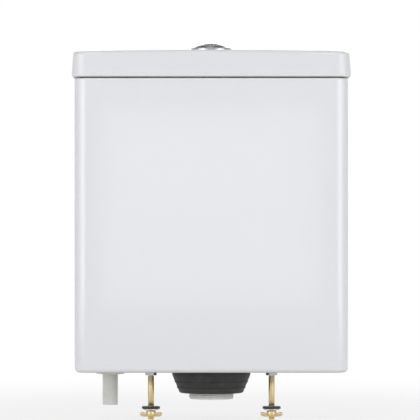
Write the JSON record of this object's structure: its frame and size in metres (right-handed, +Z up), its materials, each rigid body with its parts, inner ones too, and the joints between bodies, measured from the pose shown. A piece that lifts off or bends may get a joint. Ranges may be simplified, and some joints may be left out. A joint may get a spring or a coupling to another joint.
{
  "type": "toilet cistern",
  "caption": "Close-coupled ceramic toilet cistern with a lift-off lid, a split dual flush push button, a lifting tube flush valve, a float fill valve and coupling bolts.",
  "frame": {"origin": "on the flush outlet's axis, at the level of the tank's foot rim", "axes": "+X to the right seen from the front, +Y to the wall behind, +Z up along the flush outlet's axis"},
  "size_m": [0.3646, 0.1638, 0.5003],
  "materials": {
    "ceramic": "gloss",
    "chrome": "polished",
    "white_plastic": "satin",
    "blue_plastic": "satin",
    "grey_plastic": "satin",
    "tube_plastic": "gloss",
    "red_plastic": "satin",
    "float_plastic": "satin",
    "rubber": "matt",
    "silicone": "satin",
    "clear_silicone": "satin",
    "steel": "satin",
    "zinc_brass": "satin"
  },
  "bodies": {
    "cistern": {"tank": "ceramic", "valve_seat": "white_plastic", "valve_washer": "rubber", "valve_backnut": "white_plastic", "doughnut_washer": "rubber", "valve_cage": "white_plastic", "valve_head": "white_plastic", "lever_pins": "steel", "fill_shank": "white_plastic", "fill_washer": "rubber", "fill_backnut": "white_plastic", "inlet_filter": "float_plastic", "fill_riser": "white_plastic", "fill_head": "white_plastic", "silencer_tube": "tube_plastic", "fill_diaphragm": "rubber", "fill_cap": "red_plastic", "fill_lever_pin": "steel", "pan_bolts": "zinc_brass", "bolt_cone_washers": "rubber", "bolt_steel_washers": "steel", "bolt_rubber_washers": "rubber", "bolt_nuts": "steel", "wing_nuts": "zinc_brass"},
    "lid": {"lid": "ceramic", "lid_pads": "clear_silicone", "button_bezel": "chrome", "bezel_gasket": "rubber", "bezel_nut": "white_plastic", "button_guide": "white_plastic", "full_button_spring": "steel", "half_button_spring": "steel"},
    "full_button": {"full_flush_button": "chrome", "full_push_rod": "blue_plastic"},
    "half_button": {"half_flush_button": "chrome", "half_push_rod": "grey_plastic"},
    "full_lever": {"full_flush_lever": "blue_plastic"},
    "half_lever": {"half_flush_lever": "grey_plastic"},
    "flush_tube": {"overflow_tube": "tube_plastic", "flush_seal": "silicone", "seal_retainer": "tube_plastic", "full_flush_float": "blue_plastic", "full_lift_yoke": "blue_plastic"},
    "half_float": {"half_flush_float": "grey_plastic", "half_lift_yoke": "grey_plastic"},
    "fill_float": {"fill_float": "float_plastic", "float_rod": "steel", "float_clip": "float_plastic"},
    "fill_lever": {"fill_lever": "float_plastic"}
  },
  "joints": [
    {"name": "lid_lift", "type": "slide", "parent": "cistern", "child": "lid", "axis": [0, 0, 1], "range_m": [0, 0.15]},
    {"name": "full_button_press", "type": "slide", "parent": "lid", "child": "full_button", "axis": [0, 0, -1], "range_m": [0, 0.0045], "stiffness_N_per_m": 300, "springref_m": -0.008, "deforming": ["full_button_spring"]},
    {"name": "half_button_press", "type": "slide", "parent": "lid", "child": "half_button", "axis": [0, 0, -1], "range_m": [0, 0.0045], "stiffness_N_per_m": 300, "springref_m": -0.008, "deforming": ["half_button_spring"]},
    {"name": "full_lever_pivot", "type": "hinge", "parent": "cistern", "child": "full_lever", "pos_m": [-0.02, 0, 0.289], "axis": [0, 1, 0], "range_deg": [0, 26.5]},
    {"name": "half_lever_pivot", "type": "hinge", "parent": "cistern", "child": "half_lever", "pos_m": [0.02, 0, 0.289], "axis": [0, -1, 0], "range_deg": [0, 26.5]},
    {"name": "flush_tube_lift", "type": "slide", "parent": "cistern", "child": "flush_tube", "axis": [0, 0, 1], "range_m": [0, 0.0108]},
    {"name": "half_float_lift", "type": "slide", "parent": "cistern", "child": "half_float", "axis": [0, 0, 1], "range_m": [0, 0.0108]},
    {"name": "fill_float_rise", "type": "slide", "parent": "cistern", "child": "fill_float", "axis": [0, 0, 1], "range_m": [0, 0.008]},
    {"name": "fill_lever_pivot", "type": "hinge", "parent": "cistern", "child": "fill_lever", "pos_m": [-0.12, 0, 0.294], "axis": [0, -1, 0], "range_deg": [0, 21.8]}
  ],
  "couplings": [
    {"joint": "full_lever_pivot", "follows": "full_button_press", "rad_per_m": 100},
    {"joint": "flush_tube_lift", "follows": "full_button_press", "ratio": 2.3198},
    {"joint": "half_lever_pivot", "follows": "half_button_press", "rad_per_m": 100},
    {"joint": "half_float_lift", "follows": "half_button_press", "ratio": 2.3198},
    {"joint": "fill_lever_pivot", "follows": "fill_float_rise", "rad_per_m": 45.455}
  ]
}
